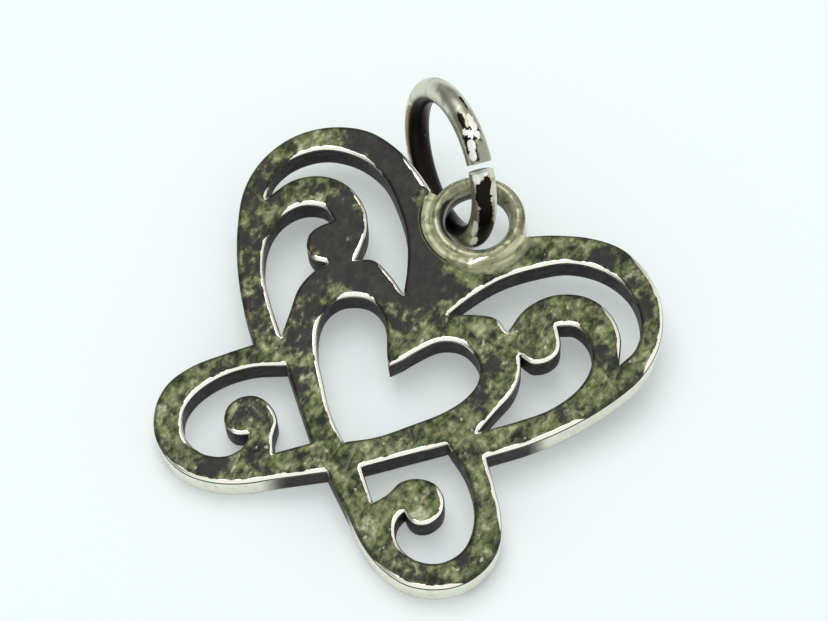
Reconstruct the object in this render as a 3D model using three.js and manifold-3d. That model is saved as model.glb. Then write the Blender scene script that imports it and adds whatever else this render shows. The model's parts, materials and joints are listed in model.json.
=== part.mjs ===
// Heart charm: a pierced silver plate of scrollwork, a soldered eye and an open jump ring.
// Millimetres, +Z up. The charm lies face up at z = 0, with its eye propped on the jump ring.
// Plate coordinates: x = 0 on the axis, y = 0 at the point of the pierced heart, z = 0 on the back.
import * as THREE from 'three';
import { mergeVertices } from 'three/addons/utils/BufferGeometryUtils.js';
import Module from 'manifold-3d';

const wasm = await Module();
wasm.setup();

// The sheet
const SHEET = 1.3;
const PLATE_WIDTH = 17.8;
const PLATE_HEIGHT = 16.27;
const EDGE_ROUND = 0.18;
const EDGE_STEPS = 2;
const OUTLINE_STEP = 0.32;
const OUTLINE_GRAIN = 0.15;

// The eye, a flattened ring let into the top of the neck
const EYE_BORE_RADIUS = 1.26;
const EYE_WIDTH = 0.74;
const EYE_DEPTH = 1.3;
const EYE_SIDES = 56;
const EYE_SECTION_POINTS = 14;

// The solder in the saddle between the eye and the plate
const SOLDER_WIDTH = 0.12;
const SOLDER_RISE = 0.15;
const SOLDER_REACH = 60;
const SOLDER_SET_BACK = 0.08;
const SOLDER_POINTS = 6;
const SEAM_GAP = 0.03;

// The jump ring, its open cut and how it stands in the eye. Angles round the ring run from its foot.
const RING_WIRE = 1.0;
const RING_RADIUS = 3.0;
const RING_CUT = 0.33;
const RING_CUT_ANGLE = 216.5;
const RING_SIDES = 14;
const RING_STEPS = 48;
const RING_SKEW = -19.5;
const RING_TILT = -12.8;
const RING_SEAT = -18.3;
const RING_PLAY_AT_EYE = 0.07;
const RING_PLAY_AT_WING = 0.27;
const RING_CHECKS = 120;
const HALVINGS = 40;
const SAME_POINT = 1e-5;

// The design: the middle of the eye, and points along the edges of the right half. Sharp corners are marked.
// The whole of it is then stretched to the plate's width and height.
const SHARP = true;
const EYE_PLACE = [0, 10.84];
const OUTLINE = [
  [0, -1.42, SHARP],
  [1.5, -2.52],
  [2.7, -3.4],
  [3.8, -3.88],
  [4.85, -4.0],
  [5.85, -3.69],
  [6.7, -3.02],
  [7.2, -2.0],
  [7.22, -1.0],
  [6.75, 0.05],
  [6.0, 0.97],
  [5.12, 1.95, SHARP],
  [6.4, 3.27],
  [7.5, 4.75],
  [8.35, 6.3],
  [8.83, 7.6],
  [8.9, 8.9],
  [8.55, 10.15],
  [7.9, 11.12],
  [6.9, 11.88],
  [5.7, 12.27],
  [4.45, 12.14],
  [3.1, 11.6],
  [2.0, 10.95, SHARP],
];
const HEART_OPENING = [
  [0, 0, SHARP],
  [1.0, 0.76],
  [2.0, 1.88],
  [2.75, 2.8],
  [3.25, 3.75],
  [3.35, 4.6],
  [3.0, 5.3],
  [2.1, 5.69],
  [1.3, 5.42],
  [0.7, 4.65],
  [0.32, 3.98],
  [0, 3.55, SHARP],
];
const CRESCENT_OPENING = [
  [1.0, 6.56, SHARP],
  [1.4, 7.6],
  [2.1, 8.85],
  [3.1, 9.93],
  [4.2, 10.74],
  [5.6, 11.02],
  [6.9, 10.66],
  [7.8, 9.72],
  [8.1, 8.65],
  [7.85, 7.75, SHARP],
  [7.3, 8.93],
  [6.4, 9.62],
  [5.3, 9.74],
  [4.2, 9.2],
  [3.55, 8.25],
  [3.36, 7.0, SHARP],
  [2.75, 7.3],
  [1.9, 7.06],
];
const SCROLL_OPENING = [
  [4.97, 8.1, SHARP],
  [5.6, 8.4],
  [6.4, 8.08],
  [6.9, 7.25],
  [6.92, 6.2],
  [6.4, 4.95],
  [5.5, 3.88],
  [4.35, 2.75, SHARP],
  [4.55, 3.75],
  [4.76, 4.85],
  [4.6, 5.75],
  [4.28, 6.33, SHARP],
  [4.85, 6.22],
  [5.36, 6.58],
  [5.55, 7.15],
  [5.35, 7.65],
];
const LOBE_OPENING = [
  [3.55, 1.72, SHARP],
  [1.1, -0.62, SHARP],
  [2.17, -1.66, SHARP],
  [2.5, -1.1],
  [2.7, -0.45],
  [3.25, 0.0],
  [3.95, 0.08],
  [4.5, -0.3],
  [4.7, -0.9],
  [4.4, -1.54],
  [3.85, -1.72],
  [3.4, -1.45, SHARP],
  [3.33, -1.95],
  [3.75, -2.64],
  [4.6, -2.95],
  [5.5, -2.67],
  [6.05, -1.9],
  [6.05, -1.0],
  [5.55, 0.1],
  [4.7, 1.02],
];
const DRAWN_WIDTHS = OUTLINE.map(([x]) => 2 * x);
const DRAWN_HEIGHTS = OUTLINE.map(([, y]) => y);
const SPREAD = PLATE_WIDTH / Math.max(...DRAWN_WIDTHS);
const RISE = PLATE_HEIGHT / (Math.max(...DRAWN_HEIGHTS) - Math.min(...DRAWN_HEIGHTS));

const EYE_CENTRE = new THREE.Vector3(EYE_PLACE[0] * SPREAD, EYE_PLACE[1] * RISE, SHEET / 2);
const EYE_MEAN_RADIUS = EYE_BORE_RADIUS + EYE_WIDTH / 2;
const EYE_OUTER_RADIUS = EYE_BORE_RADIUS + EYE_WIDTH;
const SADDLE_RADIUS = EYE_OUTER_RADIUS + SOLDER_WIDTH + 2 * SEAM_GAP;

const silver = (color, roughness) => new THREE.MeshStandardMaterial({ color, roughness, metalness: 1 });

function named(name, geometry, material) {
  const mesh = new THREE.Mesh(geometry, material);
  mesh.name = name;
  return mesh;
}

// Closed three.js geometry to a solid that can be joined or cut, and back
function solidOf(geometry) {
  const bare = geometry.clone();
  bare.deleteAttribute('normal');
  bare.deleteAttribute('uv');
  const merged = mergeVertices(bare, SAME_POINT);
  return new wasm.Manifold(new wasm.Mesh({
    numProp: 3,
    vertProperties: new Float32Array(merged.attributes.position.array),
    triVerts: new Uint32Array(merged.index.array),
  }));
}

function geometryOf(solid) {
  const mesh = solid.getMesh();
  const geometry = new THREE.BufferGeometry();
  geometry.setAttribute('position', new THREE.BufferAttribute(mesh.vertProperties, 3));
  geometry.setIndex(new THREE.BufferAttribute(mesh.triVerts, 1));
  geometry.computeVertexNormals();
  return geometry;
}

const mirrored = (line) => line.map(({ x, y }) => new THREE.Vector2(-x, y)).reverse();

// A smooth line through drawn points, broken at the sharp ones, as points along it
function edgeLine(drawing) {
  const line = [];
  let run = [];
  for (const [x, y, sharp] of drawing) {
    run.push(new THREE.Vector3(x * SPREAD, y * RISE, 0));
    if (!sharp || run.length === 1) continue;
    const smooth = new THREE.CatmullRomCurve3(run, false, 'centripetal');
    const steps = run.length === 2 ? 1 : Math.ceil(smooth.getLength() / OUTLINE_STEP);
    line.push(...smooth.getSpacedPoints(steps).slice(0, -1));
    run = run.slice(-1);
  }
  return [...line, ...run].map(({ x, y }) => new THREE.Vector2(x, y));
}

// A half that starts and ends on the axis, with its mirror image
const bothHalves = (half) => [...half, ...mirrored(half).slice(1, -1)];

const ringedBy = (drawing) => edgeLine([...drawing, drawing[0]]).slice(0, -1);

// The outline runs up to the saddle and round it to the axis
function plateOutline() {
  const eye = new THREE.Vector2(EYE_CENTRE.x, EYE_CENTRE.y);
  const drawn = edgeLine(OUTLINE);
  const half = drawn.filter((p) => p.distanceTo(eye) > SADDLE_RADIUS + OUTLINE_GRAIN);
  const last = half.at(-1);
  const onTheWay = (share) => last.clone().lerp(drawn.at(-1), share);
  const share = lastClear(0, 1, (s) => onTheWay(s).distanceTo(eye) > SADDLE_RADIUS);
  const toCorner = onTheWay(share).sub(eye);
  const start = THREE.MathUtils.radToDeg(Math.atan2(toCorner.y, toCorner.x));
  const steps = Math.round(EYE_SIDES * (start + 90) / 360);
  for (let i = 0; i <= steps; i += 1) {
    const { x, y } = onCircle(start - (start + 90) * i / steps, SADDLE_RADIUS);
    half.push(new THREE.Vector2(x, y).add(eye));
  }
  return bothHalves(half);
}

// The design is pierced from the sheet, with rounded edges
function openworkPlate(outline) {
  const openings = [bothHalves(edgeLine(HEART_OPENING))];
  for (const drawing of [CRESCENT_OPENING, SCROLL_OPENING, LOBE_OPENING]) {
    const opening = ringedBy(drawing);
    openings.push(opening, mirrored(opening));
  }
  const sheet = new THREE.Shape(outline);
  sheet.holes = openings.map((opening) => new THREE.Path(opening));
  const plate = new THREE.ExtrudeGeometry(sheet, {
    depth: SHEET - 2 * EDGE_ROUND,
    bevelThickness: EDGE_ROUND,
    bevelSize: EDGE_ROUND,
    bevelOffset: -EDGE_ROUND,
    bevelSegments: EDGE_STEPS,
  });
  plate.translate(0, 0, EDGE_ROUND);
  return geometryOf(solidOf(plate));
}

// A point of the eye's oval section, grown by some distance, at an angle in degrees
function eyeSection(angle, grown = 0) {
  const a = THREE.MathUtils.degToRad(angle);
  return new THREE.Vector2(
    EYE_MEAN_RADIUS + (EYE_WIDTH / 2 + grown) * Math.cos(a),
    (EYE_DEPTH / 2 + grown) * Math.sin(a),
  );
}

// A ring turned round the eye's axis from a section of radius and height
function turned(section) {
  const geometry = new THREE.LatheGeometry([...section, section[0]], EYE_SIDES);
  geometry.rotateX(Math.PI / 2);
  geometry.translate(...EYE_CENTRE);
  return geometry;
}

function hangerEye() {
  const section = [];
  for (let i = 0; i < EYE_SECTION_POINTS; i += 1) {
    section.push(eyeSection(360 * i / EYE_SECTION_POINTS));
  }
  return geometryOf(solidOf(turned(section)));
}

// The bead follows the eye inside and the saddle outside, as far up as the plate clasps the eye
function solderSeam() {
  const top = SHEET / 2 - SOLDER_SET_BACK;
  const outer = SADDLE_RADIUS - SEAM_GAP;
  const section = [new THREE.Vector2(outer, -top), new THREE.Vector2(outer, top)];
  for (let i = 0; i <= SOLDER_POINTS; i += 1) {
    section.push(eyeSection(SOLDER_REACH * (1 - 2 * i / SOLDER_POINTS), SEAM_GAP));
  }
  const room = 4 * SADDLE_RADIUS;
  const above = new THREE.BoxGeometry(room, room, room);
  above.translate(EYE_CENTRE.x, EYE_CENTRE.y + SOLDER_RISE + room / 2, EYE_CENTRE.z);
  return geometryOf(solidOf(turned(section)).subtract(solidOf(above)));
}

function onCircle(angle, radius = 1) {
  const a = THREE.MathUtils.degToRad(angle);
  return new THREE.Vector3(radius * Math.cos(a), radius * Math.sin(a), 0);
}

// The last value on the way from a clear one to a blocked one that is still clear
function lastClear(clear, blocked, isClear) {
  for (let i = 0; i < HALVINGS; i += 1) {
    const middle = (clear + blocked) / 2;
    if (isClear(middle)) clear = middle;
    else blocked = middle;
  }
  return clear;
}

// The middle of the jump ring's wire, from one face of its cut round to the other.
// Place is where round the eye it hangs, in degrees left of straight ahead. Seat is where round the ring
// the eye bears, and reach how far that is from the ring's centre.
class RingLine extends THREE.Curve {
  constructor(place, seat, reach) {
    super();
    const facing = place + RING_SKEW;
    const tilt = THREE.MathUtils.degToRad(RING_TILT);
    const square = onCircle(facing, Math.cos(tilt)).setZ(Math.sin(tilt));
    this.level = onCircle(facing + 90);
    this.rise = square.clone().cross(this.level);
    this.centre = onCircle(place + 90, EYE_MEAN_RADIUS).add(EYE_CENTRE);
    this.centre.addScaledVector(this.direction(seat), -reach);
  }

  direction(angle) {
    const { x, y } = onCircle(angle - 90);
    return this.level.clone().multiplyScalar(x).addScaledVector(this.rise, y);
  }

  getPoint(t, target = new THREE.Vector3()) {
    const halfCut = THREE.MathUtils.radToDeg(RING_CUT / 2 / RING_RADIUS);
    const angle = RING_CUT_ANGLE + halfCut + t * (360 - 2 * halfCut);
    return target.copy(this.centre).addScaledVector(this.direction(angle), RING_RADIUS);
  }
}

// The room between the ring's wire and the eye
function roomAtEye(ringLine) {
  let room = Infinity;
  for (const wire of ringLine.getPoints(RING_CHECKS)) {
    const out = Math.hypot(wire.x - EYE_CENTRE.x, wire.y - EYE_CENTRE.y);
    const up = wire.z - EYE_CENTRE.z;
    for (let i = 0; i < RING_CHECKS; i += 1) {
      const rim = eyeSection(360 * i / RING_CHECKS);
      room = Math.min(room, Math.hypot(out - rim.x, up - rim.y) - RING_WIRE / 2);
    }
  }
  return room;
}

// How far a spot lies outside a loop, or 0 inside it
function outsideBy(loop, spot) {
  let inside = false;
  let away = Infinity;
  loop.forEach((from, i) => {
    const to = loop[(i + 1) % loop.length];
    const side = to.clone().sub(from);
    const crossing = from.x + side.x * (spot.y - from.y) / side.y;
    if ((from.y > spot.y) !== (to.y > spot.y) && spot.x < crossing) inside = !inside;
    const share = THREE.MathUtils.clamp(spot.clone().sub(from).dot(side) / side.lengthSq(), 0, 1);
    away = Math.min(away, from.clone().addScaledVector(side, share).distanceTo(spot));
  });
  return inside ? 0 : away;
}

// The room between the ring's wire and the plate
function roomAtPlate(ringLine, outline) {
  let room = Infinity;
  for (const wire of ringLine.getPoints(RING_CHECKS)) {
    const aside = outsideBy(outline, new THREE.Vector2(wire.x, wire.y));
    const above = Math.max(0, Math.abs(wire.z - SHEET / 2) - SHEET / 2);
    room = Math.min(room, Math.hypot(aside, above) - RING_WIRE / 2);
  }
  return room;
}

// The reach that leaves the ring most room in the eye, from bearing on it to a wire's width looser
function roomiestReach(seat) {
  const { x, y } = onCircle(seat - 90);
  const section = Math.hypot(x * EYE_WIDTH / 2, y * EYE_DEPTH / 2);
  const bearing = RING_RADIUS - RING_WIRE / 2 - section;
  const tries = Array.from({ length: RING_CHECKS }, (_, i) => bearing - RING_WIRE * i / RING_CHECKS);
  const rooms = tries.map((reach) => roomAtEye(new RingLine(0, seat, reach)));
  return tries[rooms.indexOf(Math.max(...rooms))];
}

// The ring slides round its seat until it is clear of the eye, then leans on the left wing
function leaningRing(outline) {
  let seat = RING_SEAT;
  let reach = roomiestReach(seat);
  while (seat > -90 && roomAtEye(new RingLine(0, seat, reach)) < RING_PLAY_AT_EYE) {
    seat -= 1;
    reach = roomiestReach(seat);
  }
  const isClear = (place) => roomAtPlate(new RingLine(place, seat, reach), outline) > RING_PLAY_AT_WING;
  return new RingLine(lastClear(0, 90, isClear), seat, reach);
}

function jumpRing(outline) {
  const wire = new THREE.Shape();
  for (let i = 0; i < RING_SIDES; i += 1) {
    const { x, y } = onCircle(360 * i / RING_SIDES, RING_WIRE / 2);
    if (i === 0) wire.moveTo(x, y);
    else wire.lineTo(x, y);
  }
  const options = { extrudePath: leaningRing(outline), steps: RING_STEPS, bevelEnabled: false };
  return geometryOf(solidOf(new THREE.ExtrudeGeometry(wire, options)));
}

// The lowest point of a piece once the charm leans back by some angle
function lowest(geometry, lean) {
  const places = geometry.attributes.position;
  let low = Infinity;
  for (let i = 0; i < places.count; i += 1) {
    low = Math.min(low, places.getY(i) * Math.sin(lean) + places.getZ(i) * Math.cos(lean));
  }
  return low;
}

// The lean at which the lower lobes and the jump ring touch the table together
function restingLean(plate, ring) {
  return lastClear(0, Math.PI / 4, (lean) => lowest(ring, lean) < lowest(plate, lean));
}

const outline = plateOutline();
const plateGeometry = openworkPlate(outline);
const ringGeometry = jumpRing(outline);

const charm = new THREE.Group();
charm.add(named('openwork_plate', plateGeometry, silver(0x4b4b3a, 0.55)));
charm.add(named('hanger_eye', hangerEye(), silver(0x8d8a68, 0.4)));
charm.add(named('solder_seam', solderSeam(), silver(0x7c7a5c, 0.5)));
charm.add(named('jump_ring', ringGeometry, silver(0xa29c88, 0.22)));
charm.rotation.x = restingLean(plateGeometry, ringGeometry);

const part = new THREE.Group();
part.add(charm);
const box = new THREE.Box3().setFromObject(part, true);
const middle = box.getCenter(new THREE.Vector3());
charm.position.set(-middle.x, -middle.y, -box.min.z);

export default part;
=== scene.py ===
# Looks of the heart charm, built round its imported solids.
# Blender works in metres. Sizes of the charm are in millimetres, in the plate's own coordinates:
# x = 0 on the axis, y = 0 at the point of the pierced heart, z = 0 on the plate's back.
import json
import math

import bmesh
import bpy
import numpy as np
from mathutils import Matrix, Vector, geometry, kdtree, noise


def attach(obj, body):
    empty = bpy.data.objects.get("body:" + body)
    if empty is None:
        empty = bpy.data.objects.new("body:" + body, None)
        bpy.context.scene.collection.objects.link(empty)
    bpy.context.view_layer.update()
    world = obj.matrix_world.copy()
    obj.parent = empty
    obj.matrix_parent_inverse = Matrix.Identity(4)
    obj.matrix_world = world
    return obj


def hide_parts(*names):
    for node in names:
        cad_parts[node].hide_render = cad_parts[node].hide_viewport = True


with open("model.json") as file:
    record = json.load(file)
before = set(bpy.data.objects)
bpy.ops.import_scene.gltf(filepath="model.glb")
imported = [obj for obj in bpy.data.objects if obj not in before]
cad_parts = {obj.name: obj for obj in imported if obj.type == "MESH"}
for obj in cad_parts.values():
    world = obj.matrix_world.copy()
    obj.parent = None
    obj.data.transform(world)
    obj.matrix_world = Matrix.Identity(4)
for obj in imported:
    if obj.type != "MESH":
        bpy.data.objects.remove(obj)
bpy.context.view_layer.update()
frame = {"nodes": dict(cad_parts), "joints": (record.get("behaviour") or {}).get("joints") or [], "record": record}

MM = 0.001

# The plate
SHEET = 1.3
EDGE_ROUND = 0.18
OUTLINE_STEP = 0.09
CORNER = math.radians(50)
ROWS_IN_FROM_EDGE = (0.012, 0.035, 0.07, 0.115, 0.18, 0.27)
ROW_KEPT = 0.93  # a row's point stays if no other edge is nearer than this share of its distance
FACE_STEP = 0.15
WALL_ROWS = 6
FACE_WAVE = 0.02
FACE_WAVE_SIZE = 1.1

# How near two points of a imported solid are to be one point, and to be on one level
SAME_POINT = 0.002
SAME_LEVEL = 0.01

# The eye and its solder
EYE_HEIGHT = 10.84
EYE_BORE = 1.26
EYE_WIDTH = 0.74
EYE_DEPTH = 1.3
EYE_MEAN = EYE_BORE + EYE_WIDTH / 2
EYE_STEPS = 128
EYE_SECTION_POINTS = 40

# The jump ring
RING_RADIUS = 3.0
RING_WIRE = 0.99
RING_CUT = 0.33
RING_CUT_ANGLE = 216.5
RING_STEPS = 220
RING_SECTION_POINTS = 36

# A soft spot is gone at this many times its radius, and full up to one radius less than that
SOFT = 1.5
SOFTER = 1.6

# Patches of tarnish on the plate's face: x, y, radius and how dark
TARNISH = [
    (-5.7, 12.0, 1.0, 1.0),
    (-4.2, 11.7, 1.1, 1.0),
    (-2.9, 10.7, 1.1, 1.0),
    (-1.9, 9.6, 1.0, 1.0),
    (-1.0, 8.3, 1.1, 1.0),
    (-0.5, 7.0, 1.0, 1.0),
    (0.6, 7.6, 0.7, 0.75),
    (-0.3, 5.6, 0.8, 0.65),
    (0.9, 6.1, 0.6, 0.5),
    (-8.5, 8.8, 0.6, 0.6),
    (-7.8, 8.0, 0.7, 0.8),
    (-8.3, 7.2, 0.8, 0.62),
    (-7.5, 6.0, 0.8, 0.62),
    (-6.9, 4.8, 0.8, 0.62),
    (-6.1, 3.6, 0.8, 0.6),
    (-5.1, 2.6, 0.8, 0.55),
    (-6.4, 8.8, 0.7, 0.5),
    (-5.0, 8.9, 0.7, 0.8),
    (-4.3, 8.2, 0.8, 0.9),
    (-4.9, 7.3, 0.8, 0.95),
    (-3.8, 6.6, 1.0, 1.0),
    (-2.6, 6.5, 0.9, 1.0),
    (-1.6, 6.6, 0.9, 1.0),
    (-4.4, 5.2, 0.9, 0.76),
    (-4.0, 4.2, 0.8, 0.72),
    (-3.4, 3.0, 0.9, 0.7),
    (-2.5, 1.5, 0.9, 0.66),
    (-3.8, -0.7, 0.9, 0.62),
    (-5.8, 0.2, 0.6, 0.5),
    (-3.9, -3.1, 0.7, 0.75),
    (-2.4, -2.6, 0.7, 0.55),
    (-0.2, -1.3, 0.7, 0.5),
    (3.3, 5.3, 0.8, 0.66),
    (3.6, 4.1, 0.8, 0.62),
    (1.9, 1.4, 0.6, 0.5),
    (5.2, 11.5, 0.6, 0.8),
    (6.5, 11.0, 0.5, 0.75),
    (7.6, 10.2, 0.6, 0.8),
    (7.1, 7.7, 0.6, 0.6),
    (6.9, 4.9, 0.5, 0.6),
    (6.2, -2.1, 0.5, 0.6),
    (5.0, -3.4, 0.5, 0.6),
]

# A patch is gone at TARNISH_FULL / TARNISH_FALL of its radius, and full up to 0.3 / TARNISH_FALL of it
TARNISH_FULL = 1.3
TARNISH_FALL = 0.8

# Places where the face is paler: x, y and radius
PALE = [(1.9, -2.2, 1.2), (6.0, 0.2, 1.0), (3.6, -1.1, 0.9), (-7.5, 10.7, 1.2), (-6.6, -2.2, 0.7)]

# A patch of the tarnish that stayed cleaner: x, y and radius, and how much cleaner
CLEAN_PATCH = (-2.4, 10.6, 0.4)
CLEAN_SHARE = 0.7

# The lit side, towards which the rims are rubbed bright and painted with a highlight. The rubbing and painted
# highlight start on rims that face a little away from it, and end in a tail of some steps along the outline
LIT_SIDE = (0.967, -0.254)
RUB_AND_HIGHLIGHT_START = 0.3
RUB_AND_HIGHLIGHT_RISE = 0.5
RUB_AND_HIGHLIGHT_TAIL = 9
RUB_AND_HIGHLIGHT_TAIL_SHARE = 0.9

# Stretches of rim left out of the wear and painted highlight, and one where they reach broader: x, y and radius.
# A rim is quite dull up to DULL_INSIDE within the radius, and bright again DULL_FADE farther out
DULL_RIMS = [
    (8.5, 6.4, 1.5),
    (7.0, -1.7, 1.1),
    (0.0, EYE_HEIGHT, 2.25),
    (-6.9, 6.8, 0.5),
    (-8.2, 9.0, 0.7),
    (-3.3, 4.7, 0.4),
    (-4.6, 12.4, 0.7),
]
DULL_INSIDE = 0.3
DULL_FADE = 0.9
BROAD_RIM = (-2.8, 11.6, 1.1)

# How far from its notches the outer wall stays black, and over which length that fades
NOTCH_REACH = 2.6
NOTCH_FADE = 1.2

# Painted lines on the eye, a highlight in the bore, a highlight on its outer side and a line of shade beside that:
# degrees round the eye and half their length, degrees round its section from the top towards the bore and half
# their width
BORE_HIGHLIGHT = (200, 60, 62, 5)
OUTER_HIGHLIGHT = (43, 32, -66, 11)
OUTER_SHADE = (50, 32, -36, 7)
LINE_SOFT = 2

# Where the dark of the bore, painted shade with oxide in it, begins on the section, how much sooner on one
# stretch, and how softly
BORE_DARK = 75
BORE_DARK_SOONER = 58
BORE_DARK_STRETCH = (212, 45)
BORE_DARK_SOFT = 14

# Marks on the jump ring: degrees round the ring from its foot, degrees round the wire from its outer side,
# and half the length and the width of the mark in degrees
# Bright marks, partly bare metal scuffed by the pliers and partly painted glints
RING_SCUFFS_AND_GLINTS = [
    (186, 7, 6.5, 17),
    (191, -43, 2.6, 14),
    (193, -20, 2.8, 12),
    (195, 9, 3.0, 12),
    (200.5, -33, 3.8, 20),
    (207.5, -43, 3.2, 19),
    (223, -51, 3.6, 20),
    (220, -3, 2.2, 12),
    (266, -62, 9, 13),
    (280, -42, 8, 13),
]
# Dark patches, oxide and painted dark reflection together
RING_OXIDE_AND_DARK_REFLECTION = [
    (171, 18, 6.5, 8),
    (182, -32, 6.5, 14),
    (193, -18, 5, 46),
    (200, 12, 3.5, 10),
    (203, -36, 8, 30),
    (227, -2, 6, 18),
    (235, -31, 11, 38),
    (251, -17, 16, 32),
    (272, -5, 18, 44),
]
RING_AMBER = (70, -108, 24, 28)
RING_LOWER_LEFT = (243, -82, 22, 24)

# The stretch that the pliers worked: its ends in degrees round the ring, and how softly each begins
RING_WORKED = (168, 219)
RING_WORKED_SOFT = (14, 3)

# Flats left by the pliers: degrees round the ring and round the wire, depth, and how far it shines
RING_FLATS = [(208, 10, 0.05, 1.0), (199, -38, 0.02, 0.0), (183, 12, 0.02, 0.0)]
FLAT_EDGE = 0.01


def plate_axes():
    """Takes plate coordinates in millimetres to the table's frame in metres."""
    hinge = frame["joints"][0]
    up = Vector(hinge["axis"]).normalized()
    across = Vector((1, 0, 0))
    along = up.cross(across)
    origin = Vector(hinge["pos_m"]) - (along * EYE_HEIGHT + up * SHEET / 2) * MM
    turn = Matrix((across, along, up)).transposed()
    return Matrix.Translation(origin) @ (turn * MM).to_4x4()


PLATE = plate_axes()
PLATE_TURN = PLATE.to_3x3().normalized()
SHARP_EDGE = math.radians(40)


def new_piece(name, mesh, material, body, packed):
    """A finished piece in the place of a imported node."""
    piece = bpy.data.objects.new(name, mesh)
    bpy.context.scene.collection.objects.link(piece)
    mesh.materials.clear()
    mesh.materials.append(material)
    mesh.shade_smooth()
    mesh.set_sharp_from_angle(angle=SHARP_EDGE)
    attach(piece, body)
    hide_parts(packed)
    return piece


def keep_values(mesh, **values):
    """Stores one number for each point of a mesh, for its material to read."""
    for name, numbers in values.items():
        layer = mesh.attributes.new(name, "FLOAT", "POINT")
        layer.data.foreach_set("value", np.asarray(numbers, np.float32))


def turn_outward(mesh, merge=None):
    """Makes all faces of a closed mesh look outward, with points nearer than merge made one."""
    bm = bmesh.new()
    bm.from_mesh(mesh)
    if merge:
        bmesh.ops.remove_doubles(bm, verts=bm.verts, dist=merge)
    bmesh.ops.recalc_face_normals(bm, faces=bm.faces)
    bm.to_mesh(mesh)
    bm.free()


# Nodes, for shapes and for finishes


def node(tree, kind, inputs=(), **settings):
    """Adds a node. Inputs go by name or number, each with a plain value or the socket to link from."""
    made = tree.nodes.new(kind)
    for name, value in settings.items():
        setattr(made, name, value)
    for name, value in dict(inputs).items():
        if isinstance(value, bpy.types.NodeSocket):
            tree.links.new(value, made.inputs[name])
        else:
            made.inputs[name].default_value = value
    return made


# Soft marks


def eased(share):
    """0 below 0, 1 above 1 and a smooth rise between them."""
    share = np.clip(share, 0, 1)
    return share * share * (3 - 2 * share)


def away_from(points, x, y):
    return np.hypot(points[:, 0] - x, points[:, 1] - y)


def soft_spot(points, x, y, radius, soft=SOFT):
    return eased(soft - away_from(points, x, y) / radius)


def strongest(marks):
    return np.max(list(marks), axis=0)


# Outline of the plate


def area_of(loop):
    ahead = np.roll(loop, -1, 0)
    return 0.5 * np.sum(loop[:, 0] * ahead[:, 1] - loop[:, 1] * ahead[:, 0])


def turns_of(loop):
    """The angle by which the outline turns left at each of its points."""
    into = loop - np.roll(loop, 1, 0)
    out = np.roll(loop, -1, 0) - loop
    return np.arctan2(into[:, 0] * out[:, 1] - into[:, 1] * out[:, 0], np.sum(into * out, 1))


def notches(loop):
    """The points where the outline turns sharply into the metal."""
    return loop[turns_of(loop) < -CORNER]


def wall_loops():
    """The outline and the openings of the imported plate, where its walls meet the rounded edge.

    The outline comes first, and every loop has the metal on its left.
    """
    bm = bmesh.new()
    bm.from_mesh(frame["nodes"]["openwork_plate"].data)
    bm.transform(PLATE.inverted())
    bmesh.ops.remove_doubles(bm, verts=bm.verts, dist=SAME_POINT)
    bm.verts.index_update()
    level = SHEET - EDGE_ROUND
    beside = {}
    for edge in bm.edges:
        a, b = edge.verts
        if max(abs(a.co.z - level), abs(b.co.z - level)) < SAME_LEVEL:
            beside.setdefault(a.index, []).append(b.index)
            beside.setdefault(b.index, []).append(a.index)
    spots = {i: (v.co.x, v.co.y) for i, v in enumerate(bm.verts) if i in beside}
    bm.free()
    loops = []
    while beside:
        start = min(beside)
        walk = [start, beside[start][0]]
        while walk[-1] != start:
            walk.append(next(i for i in beside[walk[-1]] if i != walk[-2]))
        walk.pop()
        for i in walk:
            del beside[i]
        loops.append(np.array([spots[i] for i in walk]))
    loops.sort(key=lambda loop: -abs(area_of(loop)))
    return [loop if (area_of(loop) > 0) == (k == 0) else loop[::-1] for k, loop in enumerate(loops)]


def smooth_loop(loop):
    """The loop as a smooth line through its points, broken only at its sharp corners."""
    sharp = np.abs(turns_of(loop)) > CORNER
    count = len(loop)
    line = []
    for i in range(count):
        j = (i + 1) % count
        p1, p2 = loop[i], loop[j]
        p0 = 2 * p1 - p2 if sharp[i] else loop[i - 1]
        p3 = 2 * p2 - p1 if sharp[j] else loop[(j + 1) % count]
        pairs = ((p0, p1), (p1, p2), (p2, p3))
        k0, k1, k2 = (max(np.linalg.norm(q - p), 1e-6) ** 0.5 for p, q in pairs)
        m1 = (p1 - p0) / k0 - (p2 - p0) / (k0 + k1) + (p2 - p1) / k1
        m2 = (p2 - p1) / k1 - (p3 - p1) / (k1 + k2) + (p3 - p2) / k2
        steps = max(1, math.ceil(np.linalg.norm(p2 - p1) / OUTLINE_STEP))
        for step in range(steps):
            t = step / steps
            ease = (2 * t**3 - 3 * t**2 + 1, t**3 - 2 * t**2 + t, -2 * t**3 + 3 * t**2, t**3 - t**2)
            line.append(ease[0] * p1 + ease[1] * k1 * m1 + ease[2] * p2 + ease[3] * k1 * m2)
    return np.array(line)


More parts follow.
